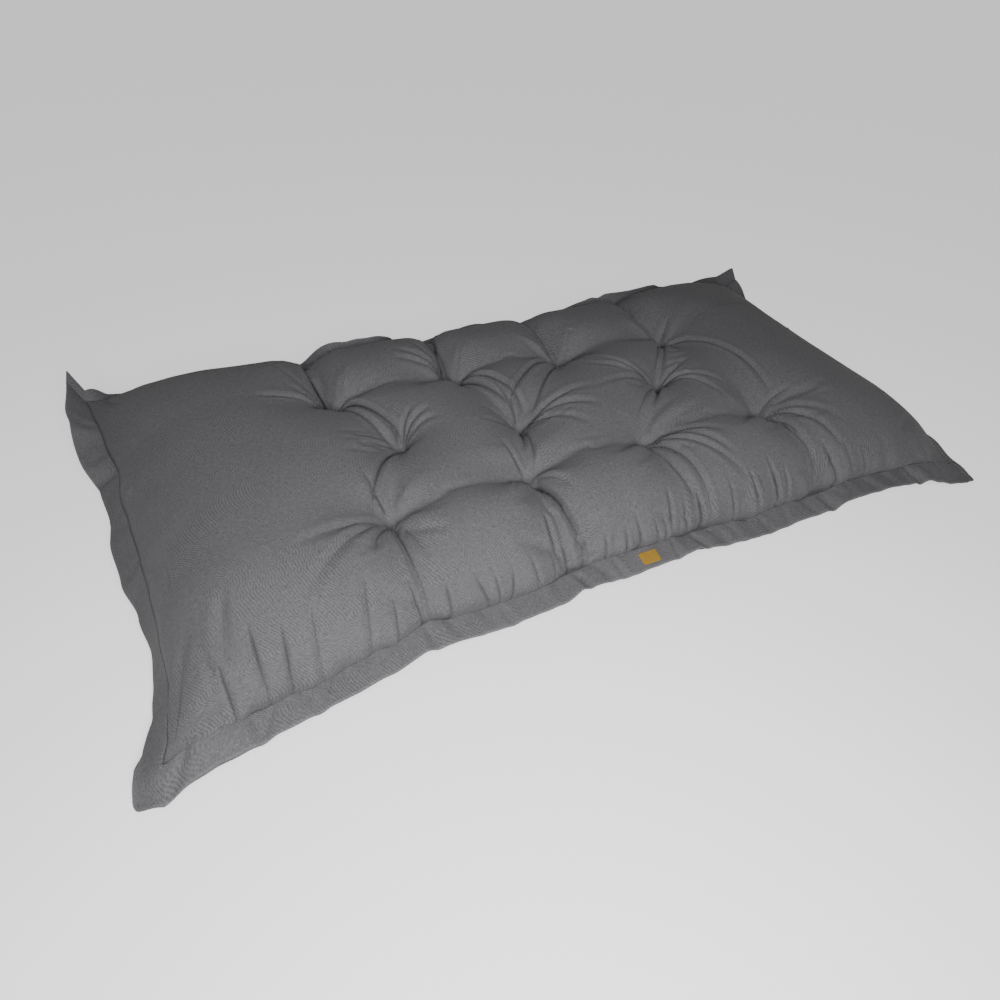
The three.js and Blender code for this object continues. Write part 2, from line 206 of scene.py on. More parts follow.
def seamSheet(u, v, wandering=1.0):
    # the seam all round, and the sheet across it: u runs along the cushion, v across, both from -1 to 1
    x, y, level = np.zeros_like(u), np.zeros_like(u), np.zeros_like(u)
    for (cx, cy), seam, *ear in corners:
        share = (1 + cx * u) / 2 * (1 + cy * v) / 2
        x, y, level = x + share * seam[0], y + share * seam[1], level + share * seam[2]
    x += (u * middleX - x) * (1 - abs(v) ** form["endBow"])
    y += (v * middleY - y) * (1 - abs(u) ** form["sideBow"])
    x += np.where(u < 0, -alongSide("left", v, 2), alongSide("right", v, 2)) * abs(u) ** 3
    y += np.where(v < 0, -alongSide("front", u, 2), alongSide("back", u, 2)) * abs(v) ** 3
    share = form["seamWander"] * wandering * abs(v) ** 6 * (1 - u ** 8)
    y += seamWave(u, "aside") * share * np.sign(v)
    ends = alongSide("left", v, 1) * (1 - u) / 2 + alongSide("right", v, 1) * (1 + u) / 2
    longs = alongSide("front", u, 1) * (1 - v) / 2 + alongSide("back", u, 1) * (1 + v) / 2
    return x, y, ends + longs - level + seamWave(u, "upward") * share


def pillowPoints(u, v, half):
    # half the flange's thickness: above 0 for the upper panel, below 0 for the one on the floor
    x, y, level = seamSheet(u, v)
    insetX, insetY = (1 - abs(u)) * middleX, (1 - abs(v)) * middleY
    reachX = np.where(u < 0, form["leftShoulder"], form["rightShoulder"])
    reachY = np.where(v < 0, form["frontShoulder"], form["backShoulder"])
    ends, longs = rise(insetX, reachX, form["endRise"]), rise(insetY, reachY, form["sideRise"])
    fill = ends * longs
    drop = pull(x, y)
    out = np.where(v < 0, form["frontBulge"], form["bulge"]) * (1 - 1.3 * drop)
    px = x + 0.5 * np.sign(u) * form["bulge"] * swell(insetX, reachX) * longs
    py = y + np.sign(v) * out * swell(insetY, reachY) * ends
    if half > 0:
        crown = form["crown"] + form["lean"] * v
        z = level + half + (crown - level - half) * fill
        z = z - (crown - form["tuftTop"]) * drop * np.minimum(1, 1.3 * fill)
    else:
        z = level + half + (-form["floorRoll"] - level - half) * fill
        z = np.maximum(0, z) + form["tuftBottom"] * np.maximum(0, drop - 0.3) / 0.7 * fill
    return np.stack([px, py, z], -1)


def cornerArms():
    # the two edges of each ear, as arms that together reach its tip
    arms = {}
    for (cx, cy), seam, tip, endShare, spread in corners:
        reach = np.array(tip, float) - seam
        apart = np.array([-cx * abs(reach[1]), cy * abs(reach[0]), 0])
        apart *= spread / np.linalg.norm(apart)
        arms[cx, cy] = (reach * endShare - apart, reach * (1 - endShare) + apart)
    return arms


def flangeArm(u, v, overEnd):
    # from the seam to the flange's edge, straight out along a side and turned to the tip at an ear
    along, across = (v, u) if overEnd else (u, v)
    low, high = ("left", "right") if overEnd else ("front", "back")
    fall = np.radians(np.where(across < 0, alongSide(low, along, 3), alongSide(high, along, 3)))
    width = form["flangeWidth"] if overEnd else np.where(across < 0, form["frontFlange"], form["flangeWidth"])
    out = np.sign(across) * np.cos(fall) * width
    drop = -np.sin(fall) * width
    none = np.zeros_like(out)
    straight = np.stack([out, none, drop] if overEnd else [none, out, drop], -1)
    near = np.zeros_like(straight)
    for (cx, cy), (endArm, sideArm) in cornerArms().items():
        near[(cx * u >= 0) & (cy * v >= 0)] = endArm if overEnd else sideArm
    hold = np.where(v < 0, form["frontEarHold"], form["backEarHold"])
    return straight + (near - straight) * (abs(along) ** hold)[..., None]


def roundedCorner(a, b, halfA, halfB, radius):
    # draws the corners of a rectangle, given by its half sizes, in to round ones
    flatA, flatB = halfA - radius, halfB - radius
    overA, overB = abs(a) - flatA, abs(b) - flatB
    most, away = np.maximum(overA, overB), np.maximum(np.hypot(overA, overB), 1e-9)
    both = (overA > 0) & (overB > 0)
    inA = np.where(both, np.sign(a) * (flatA + overA * most / away), a)
    inB = np.where(both, np.sign(b) * (flatB + overB * most / away), b)
    return inA, inB


def flangePoints(u, v, a, b, half):
    a, b = roundedCorner(a, b, 1, 1, np.where(v < 0, form["frontEarRound"], form["backEarRound"]))
    x, y, level = seamSheet(u, v, 1 - np.maximum(abs(a), abs(b)))
    point = np.stack([x, y, level], -1)
    point = point + flangeArm(u, v, True) * abs(a)[..., None] + flangeArm(u, v, False) * abs(b)[..., None]
    point[..., 2] += half
    return point


# the cushion's mesh: two panels on one grid, drawn together at the flange's edge

cushion = {
    "endCells": 50,              # from the end seam to the outer tufts, while it is filled
    "pitchCells": 36,            # between two columns of tufts
    "sideCells": 28,             # from the side seam to the outer row
    "rowCells": 23,              # between two rows
    "endEase": 1.4,              # closer lines where the panel turns down to the seam
    "sideEase": 1.6,
    "slackMiddle": 0.045,        # spare cloth among the tufts, as a part of its length
    "slackEnds": 0.002,
    "slackFade": 150.0,
    "pressure": 100.0,
    "stiffness": 40.0,
    "shear": 10.0,
    "bending": 0.005,
    "vertexMass": 0.01,
    "frames": 14,
    "tieRadius": 4.0,
    "cap": 34.0,                 # farthest that a point may move as the panel fills
    "gatherHeight": 1.4,         # small gathers that start along the seam
    "gatherReach": 34.0,
    "gatherPitches": (11, 23),
    "earBlur": 10.0,             # how softly pillow and flange run together at the ears
    "earReach": 95.0,
    "backEarBlend": 0.25,
    "seamGroove": 0.9,           # how deep the seam sinks between pillow and flange
    "rippleHeight": 1.8,         # how far the flange's edge waves up and down
    "ripplePitches": (64, 22),
    "edgeHalf": 0.5,             # of the flange's thickness, left at its rounded edge
    "edgeFrom": 0.9,             # where the rounding starts, in widths of the flange
    "edgeWidth": 0.1,
    "edgeLift": 0.2,             # of the upper panel over the lower one, where both lie on the floor
    "stitchDent": 0.16,          # how far the flange's stitches draw it in, in half thicknesses
    "pitRadius": 7.0,            # of the small pit at each tie
    "topPit": 5.0,
    "underPit": 3.0,
    "fill": 0.75,
    "seed": 11,
}

# places across the flange, in widths from the seam; the stitching runs along one of them
acrossFlange = [0.03, 0.1, 0.2, 0.34, 0.5, 0.66, 0.8, 0.9, 0.97, 1.0]
stitchedAt = 0.9


def spacedLine(low, high, count, power=1.0, dense=None):
    t = np.linspace(0, 1, count + 1)
    if dense == "low":
        t = t ** power
    if dense == "high":
        t = 1 - (1 - t) ** power
    return low + (high - low) * t


def gridLines():
    c = cushion
    columns = np.array([-1.5, -0.5, 0.5, 1.5]) * form["tuftPitch"] / middleX
    rows = np.array([-1.0, 0.0, 1.0]) * form["rowOffset"] / middleY
    lineU = [spacedLine(-1, columns[0], c["endCells"], c["endEase"], "low")]
    lineU += [spacedLine(low, high, c["pitchCells"])[1:] for low, high in zip(columns, columns[1:])]
    lineU += [spacedLine(columns[-1], 1, c["endCells"], c["endEase"], "high")[1:]]
    lineV = [spacedLine(-1, rows[0], c["sideCells"], c["sideEase"], "low")]
    lineV += [spacedLine(low, high, c["rowCells"])[1:] for low, high in zip(rows, rows[1:])]
    lineV += [spacedLine(rows[-1], 1, c["sideCells"], c["sideEase"], "high")[1:]]
    return np.concatenate(lineU), np.concatenate(lineV)


def withFlange(line):
    # the seam's line goes on over the flange: place along the panel, part of the flange's width
    beyond = np.array(acrossFlange)
    at = np.concatenate([-np.ones(len(beyond)), line, np.ones(len(beyond))])
    out = np.concatenate([-beyond[::-1], np.zeros(len(line)), beyond])
    return at, out


def refine(points, axis):
    # a point between each two, on a smooth curve through their neighbours
    p = np.moveaxis(points, axis, 0)
    longer = np.concatenate([2 * p[:1] - p[1:2], p, 2 * p[-1:] - p[-2:-1]])
    finer = np.empty((2 * len(p) - 1,) + p.shape[1:])
    finer[::2] = p
    finer[1::2] = (9 * (longer[1:-2] + longer[2:-1]) - longer[:-3] - longer[3:]) / 16
    return np.moveaxis(finer, 0, axis)


def smoothNoise(at, wavelength, rng):
    # a soft random line of unit height
    knots = rng.uniform(-1, 1, int((at.max() - at.min()) / wavelength) + 4)
    place = (at - at.min()) / wavelength
    k = np.floor(place).astype(int)
    t = ease(place - k)
    return knots[k] * (1 - t) + knots[k + 1] * t


def normalsOf(points):
    along = np.gradient(points, axis=1)
    across = np.gradient(points, axis=0)
    normal = np.cross(along, across)
    return normal / np.maximum(np.linalg.norm(normal, axis=-1, keepdims=True), 1e-9)


def gridQuads(rows, cols):
    number = np.arange(rows * cols).reshape(rows, cols)
    around = [number[:-1, :-1], number[:-1, 1:], number[1:, 1:], number[1:, :-1]]
    return number, np.stack(around, -1).reshape(-1, 4)


def slackPanel(u, v):
    # the upper panel before it is filled, with gathers along the seams that start small puckers
    c = cushion
    rng = np.random.default_rng(c["seed"])
    panel = pillowPoints(u, v, form["flangeThickness"] / 2)
    inset = (1 - abs(v)) * middleY
    near = np.exp(-inset / c["gatherReach"]) * np.minimum(1, inset / 3)
    narrow, wide = [smoothNoise(u[0] * middleX, pitch, rng) for pitch in c["gatherPitches"]]
    panel[..., 1] -= np.sign(v) * c["gatherHeight"] * near * (narrow + 0.7 * wide)
    return panel


def fillPanel(points, u, v):
    # the upper panel swells between its ties and its seam: Cloth with pressure, no gravity
    c = cushion
    mesh = bpy.data.meshes.new("slackPanel")
    mesh.from_pydata((points.reshape(-1, 3) / 1000).tolist(), [], gridQuads(*u.shape)[1].tolist())
    panel = bpy.data.objects.new("slackPanel", mesh)
    scene.collection.objects.link(panel)
    held = (abs(u) == 1) | (abs(v) == 1)
    for name in tufts:
        away = np.hypot(*(points[..., :2] - tuftPlace(name)).transpose(2, 0, 1))
        held |= away <= max(c["tieRadius"], away.min() + 0.01)
    pins = panel.vertex_groups.new(name="pins")
    pins.add(np.flatnonzero(held).tolist(), 1.0, "REPLACE")
    slack = panel.vertex_groups.new(name="slack")
    beyond = abs(u) * middleX - 1.5 * form["tuftPitch"]
    share = np.round(10 * (1 - ease(beyond / c["slackFade"]))).ravel()
    for step in range(1, 11):
        slack.add(np.flatnonzero(share == step).tolist(), step / 10, "REPLACE")
    cloth = panel.modifiers.new("filling", "CLOTH")
    s = cloth.settings
    s.mass = c["vertexMass"]
    s.tension_stiffness = s.compression_stiffness = c["stiffness"]
    s.shear_stiffness = c["shear"]
    s.bending_stiffness = c["bending"]
    s.tension_damping = s.compression_damping = s.shear_damping = 1.0
    s.use_pressure = True
    s.uniform_pressure_force = c["pressure"]
    s.vertex_group_mass = pins.name
    s.vertex_group_shrink = slack.name
    s.shrink_min = -c["slackEnds"]
    s.shrink_max = -c["slackMiddle"]
    s.effector_weights.gravity = 0
    cloth.collision_settings.use_collision = False
    scene.frame_start = cloth.point_cache.frame_start = 1
    scene.frame_end = c["frames"]
    cloth.point_cache.frame_end = c["frames"] + 2
    for step in range(1, c["frames"] + 1):
        scene.frame_set(step)
    result = panel.evaluated_get(bpy.context.evaluated_depsgraph_get()).to_mesh()
    filled = np.empty(len(result.vertices) * 3)
    result.vertices.foreach_get("co", filled)
    filled = filled.reshape(points.shape) * 1000
    scene.frame_set(1)
    bpy.data.objects.remove(panel)
    move = filled - points
    far = np.linalg.norm(move, axis=-1, keepdims=True)
    print("panel filled, mean move", round(float(far.mean()), 2), "most", round(float(far.max()), 1))
    return points + move * np.minimum(1, c["cap"] / np.maximum(far, 1e-6))


# creases: from a tuft, its heading and how far off it starts, then length, bend, depth, width

creases = [
    ("back1", 101, 5, 160, -24, 6.5, 4.6), ("back1", 92, 6, 104, 12, 3.5, 4.0),
    ("back1", 140, 8, 52, 8, 2.0, 4.0), ("back1", 166, 7, 88, 20, 3.0, 5.0),
    ("back1", 122, 14, 118, 2, 1.4, 3.0), ("back1", -42, 5, 150, -44, 4.4, 4.5),
    ("back1", -60, 8, 136, -14, 3.0, 4.0),
    ("back2", 94, 4, 150, -30, 7.5, 4.6), ("back2", 92, 9, 100, 2, 3.4, 4.0),
    ("back2", 106, 8, 88, 20, 2.6, 4.5), ("back2", 125, 8, 84, 26, 3.0, 5.0),
    ("back2", 141, 8, 80, 22, 2.2, 4.5), ("back2", -36, 4, 142, -60, 5.0, 5.0),
    ("back2", -62, 8, 128, -16, 3.4, 4.0),
    ("back3", 96, 5, 92, 15, 3.0, 4.0), ("back3", 107, 6, 104, 14, 3.2, 4.0),
    ("back3", 126, 8, 62, 20, 2.2, 4.5), ("back3", -160, 6, 186, 36, 3.8, 4.5),
    ("back3", -136, 8, 176, 4, 3.0, 4.0),
    ("back4", 94, 4, 130, 44, 7.5, 4.6), ("back4", 109, 7, 82, 30, 3.0, 4.0),
    ("back4", 46, 6, 46, -6, 2.8, 6.0), ("back4", -50, 5, 226, -62, 4.2, 5.0),
    ("back4", -121, 6, 124, -10, 2.8, 4.0), ("back4", -133, 7, 120, 8, 2.6, 4.0),
    ("middle1", 93, 6, 54, 24, 2.2, 4.0), ("middle1", 60, 5, 52, -16, 2.6, 4.0),
    ("middle1", 44, 5, 58, -30, 3.0, 5.0), ("middle1", 24, 6, 52, -30, 2.2, 5.0),
    ("middle1", -134, 4, 138, 24, 4.2, 4.5), ("middle1", 178, 6, 50, 22, 2.4, 6.0),
    ("middle2", 86, 6, 88, 8, 2.2, 4.5), ("middle2", -110, 4, 66, -2, 5.2, 4.5),
    ("middle2", -99, 8, 96, -18, 2.8, 4.0), ("middle2", 6, 6, 108, -46, 3.6, 6.0),
    ("middle2", 21, 7, 118, -36, 3.0, 6.5), ("middle2", -26, 8, 92, -28, 2.2, 6.0),
    ("middle2", 124, 6, 46, 14, 2.0, 4.5),
    ("middle3", 164, 6, 114, -24, 2.6, 5.0), ("middle3", 152, 6, 106, -30, 2.6, 4.5),
    ("middle3", 178, 7, 124, 14, 2.2, 5.5), ("middle3", -12, 6, 92, -60, 2.8, 5.0),
    ("middle3", -36, 6, 104, -58, 2.8, 5.0), ("middle3", -130, 4, 82, -4, 4.4, 4.5),
    ("middle3", -146, 8, 108, 12, 2.6, 4.5), ("middle3", 22, 6, 56, -12, 2.2, 5.0),
    ("front1", -128, 4, 62, 14, 3.8, 5.0), ("front1", -170, 6, 112, 8, 2.6, 6.5),
    ("front1", -152, 8, 140, 16, 2.6, 7.0), ("front1", -92, 4, 112, 4, 3.8, 5.0),
    ("front1", 95, 8, 66, 4, 2.6, 4.0), ("front1", -74, 8, 70, -10, 2.0, 5.0),
    ("front2", -78, 3, 130, -12, 9.0, 4.6), ("front2", -101, 72, 40, 16, 3.4, 4.0),
    ("front2", 96, 7, 52, 2, 2.6, 4.0), ("front2", -50, 8, 60, -24, 2.0, 5.0),
    ("front3", -16, 6, 124, -64, 3.0, 5.5), ("front3", -62, 6, 128, -42, 3.2, 5.0),
    ("front3", -42, 8, 134, -20, 2.6, 5.0), ("front3", -4, 7, 110, -50, 2.6, 6.0),
    ("front3", -90, 4, 120, 4, 3.6, 5.0),
    ("front4", -38, 6, 120, -48, 3.2, 5.0), ("front4", -66, 6, 118, -50, 3.0, 5.0),
    ("front4", 30, 5, 64, -40, 2.8, 5.0), ("front4", -80, 4, 110, -4, 3.2, 5.0),
    ("front4", -20, 8, 104, -44, 2.2, 6.0),
]

# the same, away from the tufts: place in plan, heading, length, bend, depth, width
looseCreases = [
    (-231, -230, -62, 42, 4, 2, 3), (-184, -232, -108, 40, 0, 2.2, 3), (-160, -228, -84, 50, 6, 1.8, 3.5),
    (-60, -226, -98, 44, -4, 2, 3), (-31, -230, -108, 44, 0, 2.8, 3.5), (8, -228, -86, 48, 4, 1.8, 3),
    (43, -212, -106, 62, 6, 3.2, 4), (60, -224, -98, 52, 0, 2.5, 3.5), (165, -220, -82, 56, -6, 2.8, 3.5),
    (200, -216, -84, 60, 4, 3.5, 4), (222, -224, -94, 50, 0, 2.2, 3.5), (-262, -228, -96, 44, 0, 2.2, 3),
    (-208, -230, -88, 38, 0, 2, 2.6), (-128, -226, -100, 44, 4, 2.2, 3),
    (-112, -224, -84, 50, -4, 2.8, 3), (-14, -222, -94, 50, 0, 2.2, 3), (24, -230, -98, 42, 0, 2.2, 2.8),
    (82, -218, -90, 58, 0, 3.2, 3.2), (130, -222, -88, 54, 4, 2.8, 3), (300, -214, -74, 62, -6, 3, 3.4),
    (-300, -220, -82, 52, 4, 2.5, 3), (-320, -228, -100, 44, 0, 2, 3),
    (-432, -228, -100, 54, 0, 2.8, 3.6), (-462, -220, -92, 60, 4, 3, 3.6),
    (-498, -238, -86, 52, 0, 2.8, 3.6), (330, -220, -76, 52, -6, 2.2, 4),
    (360, -230, -88, 44, 0, 1.8, 3.5), (-340, -212, -112, 66, 10, 2.2, 5),
    (-400, -222, -104, 60, 8, 2, 5), (-478, -176, -98, 76, -6, 2.4, 9), (-527, -132, 96, 56, -8, 2.2, 8),
    (-512, -220, -70, 60, -10, 2.2, 7), (-556, -286, 74, 96, -10, 4.0, 7),
    (-548, -284, 40, 74, -16, 2.0, 8), (-560, 40, 62, 60, 10, 1.4, 8), (440, -236, 24, 70, -20, 1.6, 7),
    (548, -262, 120, 60, 10, 3, 6), (-566, 268, -70, 60, 14, 2.6, 6),
]


creasing = {
    "gain": 1.6,                 # of the depths in the tables
    "narrowing": 0.78,           # of their widths
    "start": 7.0,                # how far a crease runs from its tuft before it is at its deepest
    "looseStart": 0.35,          # the same for a loose one, as a part of its length
    "lip": 0.32,                 # cloth pushed up on both sides, as a part of the depth
    "highestLip": 1.6,
    "shadeReach": 7.0,           # how far off its line a crease is shaded
    "farAway": 12.0,             # distance that stands for no crease near
    "underRays": 6,              # round each tie on the underside
}


def creasePath(start, heading, length, bend, steps=14):
    turn = np.radians(heading + bend * (np.arange(steps) + 0.5) / steps)
    step = np.stack([np.cos(turn), np.sin(turn)], -1) * length / steps
    return np.concatenate([[start], start + np.cumsum(step, 0)])


def topCreases():
    rows = []
    for name, heading, start, length, bend, depth, width in creases:
        way = np.radians(heading)
        place = tuftPlace(name) + start * np.array([np.cos(way), np.sin(way)])
        rows.append((creasePath(place, heading, length, bend), depth, width, creasing["start"]))
    for x, y, heading, length, bend, depth, width in looseCreases:
        path = creasePath(np.array([x, y], float), heading, length, bend)
        rows.append((path, depth, width, creasing["looseStart"] * length))
    return rows


def underCreases():
    # the ties gather the underside too, in short rays round each
    rng = np.random.default_rng(cushion["seed"] + 1)
    rows = []
    for name in tufts:
        for ray in range(creasing["underRays"]):
            heading = 360 / creasing["underRays"] * ray + rng.uniform(-18, 18)
            length, depth = rng.uniform(26, 60), rng.uniform(1.5, 3.5)
            path = creasePath(tuftPlace(name), heading, length, rng.uniform(-20, 20))
            rows.append((path, depth, 4.5, creasing["start"]))
    return rows


def creaseFields(x, y, rows):
    # how far the cloth is drawn in, the signed distance off the nearest crease, and its strength
    c = creasing
    drawn, raised = np.zeros_like(x), np.zeros_like(x)
    near, strength = np.full_like(x, c["farAway"]), np.zeros_like(x)
    for path, depth, width, start in rows:
        depth, width = depth * c["gain"], width * c["narrowing"]
        low, high = path.min(0) - 4 * width, path.max(0) + 4 * width
        at = np.nonzero((x > low[0]) & (x < high[0]) & (y > low[1]) & (y < high[1]))
        if not len(at[0]):
            continue
        px, py = x[at], y[at]
        best, along, side = np.full_like(px, 1e9), np.zeros_like(px), np.ones_like(px)
        for k, (a, b) in enumerate(zip(path, path[1:])):
            t, away = segmentNear(px, py, a, b)
            nearer = away < best
            best = np.where(nearer, away, best)
            along = np.where(nearer, (k + t) / (len(path) - 1), along)
            turn = (b[0] - a[0]) * (py - a[1]) - (b[1] - a[1]) * (px - a[0])
            side = np.where(nearer, np.sign(turn), side)
        length = np.linalg.norm(np.diff(path, axis=0), axis=1).sum()
        fade = ease(along * length / start) * (1 - along ** 2.2) ** 0.9
        fade *= 1 - np.clip((best - 2.6 * width) / width, 0, 1)
        wide = width * (0.75 + 0.6 * along)
        drawn[at] += (depth * fade * np.exp(-(best / wide) ** 2)) ** 2
        raised[at] += c["lip"] * depth * fade * np.exp(-((best - 1.7 * wide) / wide) ** 2)
        # deep narrow creases are shaded the most
        share = fade * min(1.3, depth / 5) * min(1, 3.6 / width) ** 2
        share = share * (1 - np.clip(best / c["shadeReach"], 0, 1))
        closer = share > strength[at]
        near[at] = np.where(closer, best * side, near[at])
        strength[at] = np.maximum(strength[at], share)
    return np.minimum(raised, c["highestLip"]) - np.sqrt(drawn), near, strength


# folds across the flange: side, place along it, shift towards the edge, depth, width
flangeFolds = [
    ("front", -530, -20, 3.0, 8), ("front", -500, -18, 2.2, 8), ("front", -474, 10, 2.0, 6),
    ("front", -452, -16, 2.6, 7), ("front", -420, 10, 1.8, 6), ("front", -400, -10, 1.6, 6),
    ("front", -340, 8, 1.0, 7), ("front", -236, 6, 1.0, 6), ("front", -140, -6, 1.0, 7),
    ("front", 0, 4, 0.8, 7), ("front", 112, 6, 1.2, 6), ("front", 136, -4, 1.0, 6),
    ("front", 225, -8, 1.2, 7), ("front", 262, 6, 1.0, 6), ("front", 340, -6, 1.2, 7),
    ("front", 405, 8, 1.2, 8), ("front", -378, 8, 1.4, 8), ("front", -284, 4, 4.0, 6),
    ("front", -268, 10, -2.0, 7), ("front", -196, 5, 2.0, 6), ("front", -96, 6, 4.6, 6),
    ("front", -80, 12, -2.2, 7), ("front", -44, 5, 1.8, 5), ("front", 44, -6, 2.2, 5),
    ("front", 74, 6, 4.4, 6), ("front", 90, 12, -2.2, 7), ("front", 180, 5, 1.6, 7),
    ("front", 292, 4, 3.6, 6), ("front", 306, 8, -1.8, 7), ("front", 372, 6, 1.6, 7),
    ("front", 452, 6, 4.8, 6), ("front", 468, 10, -2.4, 8), ("front", 505, 16, 2.0, 8),
    ("back", -300, 6, 4.0, 7), ("back", -100, -6, 4.0, 7), ("back", 84, 6, 4.0, 7),
    ("back", 262, -4, 4.0, 7), ("back", -200, 8, 2.0, 9), ("back", 400, 8, 2.5, 9),
    ("left", -196, 6, 3.0, 8), ("left", -150, -8, 2.4, 9), ("left", -84, 6, 2.2, 9),
    ("left", -28, -6, 2.6, 8), ("left", 34, 8, 2.6, 8), ("left", 66, -8, 2.8, 7),
    ("left", 116, 8, 3.4, 7), ("left", 152, -6, 2.4, 8), ("left", 196, 6, 3.0, 8),
    ("right", -180, 6, 2.6, 9), ("right", -60, -6, 2.4, 9), ("right", 60, 6, 2.4, 9),
    ("right", 170, 6, 3.0, 9),
]


def flangeWave(u, v, a, b, rng):
    # ripples and folds lift and sink the flange, the more the nearer to its edge
    wave = np.zeros_like(u)
    for side in ("front", "back", "left", "right"):
        along, across, sideHalf = (u, b, middleX) if side in ("front", "back") else (v, a, middleY)
        out = np.clip(-across if side in ("front", "left") else across, 0, 1)
        at = along * sideHalf
        wide, narrow = [smoothNoise(at, pitch, rng) for pitch in cushion["ripplePitches"]]
        ripple = wide + 0.45 * narrow
        wave += cushion["rippleHeight"] * ripple * out ** 1.5 * (1 - abs(along) ** 8)
        for where, place, shift, depth, width in flangeFolds:
            if where == side:
                off = (at - place - shift * out) / (0.85 * width * (0.7 + 0.6 * out))
                fold = np.exp(-off ** 2) - 0.35 * np.exp(-(abs(off) - 1.8) ** 2)
                wave -= 1.1 * depth * fold * np.minimum(1, 3 * out) * (1 - 0.35 * out)
    return wave


lineU, lineV = gridLines()
simU, simV = np.meshgrid(lineU, lineV)
slackTop = slackPanel(simU, simV)
filledTop = fillPanel(slackTop, simU, simV)

fineTop = refine(refine(filledTop, 0), 1)
lineU, lineV = refine(lineU, 0), refine(lineV, 0)
(fullU, outU), (fullV, outV) = withFlange(lineU), withFlange(lineV)
gridU, gridV = np.meshgrid(fullU, fullV)
gridA, gridB = np.meshgrid(outU, outV)
core = slice(len(acrossFlange), -len(acrossFlange))
coreU, coreV = gridU[core, core], gridV[core, core]


def tuftPit(x, y):
    # each tie sinks in a small pit of its own
    pit = np.zeros_like(x)
    for name in tufts:
        place = tuftPlace(name)
        away = np.hypot(x - place[0], y - place[1])
        pit = np.maximum(pit, np.exp(-(away / cushion["pitRadius"]) ** 2))
    return pit


def creased(panel, rows, up, pitDepth):
    # the panel with its creases and pits sunk along its normals, which point up on both panels
    x, y = seamSheet(coreU, coreV)[:2]
    drawn, near, strength = creaseFields(x, y, rows)
    pit = tuftPit(x, y)
    inner = np.minimum(1, np.minimum((1 - abs(coreU)) * middleX, (1 - abs(coreV)) * middleY) / 1.5)
    move = (drawn - pitDepth * pit) * inner
    return panel + up * normalsOf(panel) * move[..., None], near, strength, pit


def softEars(points):
    # near each ear the pillow and the flange are one soft surface: their heights are evened out
    c = cushion
    for (cx, cy), seam, *ear in corners:
        away = np.hypot(points[..., 0] - seam[0], points[..., 1] - seam[1])
        at = np.nonzero(away < c["earReach"])
        near = points[at]
        gap = ((near[:, None, :2] - near[None, :, :2]) ** 2).sum(-1)
        share = np.exp(-gap / (2 * c["earBlur"] ** 2))
        even = share @ near[:, 2] / share.sum(1)
        blend = ease(1.5 * (1 - away[at] / c["earReach"])) * (1 if cy < 0 else c["backEarBlend"])
        points[at[0], at[1], 2] = near[:, 2] + (even - near[:, 2]) * blend


def panelWithFlange(panel, half):
    # joins the flange's ring to a panel, with a groove along the seam and a rounded edge
    c = cushion
    rng = np.random.default_rng(c["seed"] + 5)
    beyond = np.maximum(abs(gridA), abs(gridB))
    rounding = np.clip((beyond - c["edgeFrom"]) / c["edgeWidth"], 0, 1)
    thin = 1 - (1 - c["edgeHalf"]) * rounding ** 2
    thin = thin - c["stitchDent"] * np.exp(-((beyond - stitchedAt) / 0.03) ** 2)
    sheet = flangePoints(gridU, gridV, gridA, gridB, 0)
    sheet[core, core] = panel - np.array([0, 0, half])
    softEars(sheet)
    sheet[..., 2] += flangeWave(gridU, gridV, gridA, gridB, rng)
    lowest = form["flangeThickness"] / 2 + (c["edgeLift"] if half > 0 else 0)
    sheet[..., 2] = np.maximum(sheet[..., 2], lowest) + half * thin
    rim = np.zeros(coreU.shape, bool)
    rim[[0, -1], :] = rim[:, [0, -1]] = True
    sheet[core, core][rim, 2] -= np.sign(half) * c["seamGroove"]
    return sheet


def flatCoordinates(points):
    # how far along the cloth each point lies from the middle, both ways, so the weave follows it
    def lengths(p):
        step = np.linalg.norm(np.diff(p, axis=1), axis=-1)
        total = np.concatenate([np.zeros((len(p), 1)), np.cumsum(step, 1)], 1)
        return total - total[:, total.shape[1] // 2, None]
    along = lengths(points)
    across = lengths(points.transpose(1, 0, 2)).T
    return np.stack([along, across], -1) / 1000


halfFlange = form["flangeThickness"] / 2
topPanel, *topFields = creased(fineTop, topCreases(), 1, cushion["topPit"])
underPanel = pillowPoints(coreU, coreV, -halfFlange)
underPanel, *underFields = creased(underPanel, underCreases(), -1, cushion["underPit"])
underPanel[..., 2] = np.maximum(underPanel[..., 2], 0)
top = panelWithFlange(topPanel, halfFlange)
bottom = panelWithFlange(underPanel, -halfFlange)
print("panels", top.shape)


def overFlange(field):
    whole = np.zeros(gridU.shape)
    whole[core, core] = field
    return whole


def closedPlate(upper, lower, name):
    # two grids of the same shape, joined along their edges by a last band of faces
    number, quads = gridQuads(*upper.shape[:2])
    rim = np.concatenate([number[0, :-1], number[:-1, -1], number[-1, :0:-1], number[:0:-1, 0]])
    after = np.roll(rim, -1)
    band = np.stack([rim + number.size, after + number.size, after, rim], -1)
    faces = np.concatenate([quads, quads[:, ::-1] + number.size, band])
    points = np.concatenate([upper.reshape(-1, 3), lower.reshape(-1, 3)]) / 1000
    mesh = bpy.data.meshes.new(name)
    mesh.from_pydata(points.tolist(), [], faces.tolist())
    mesh.polygons.foreach_set("use_smooth", [True] * len(mesh.polygons))
    return mesh, faces


def layFlat(mesh, flat):
    # flat holds a place on the cloth, in metres, for each corner of each face
    mesh.uv_layers.new(name="flat").data.foreach_set("uv", flat.ravel())


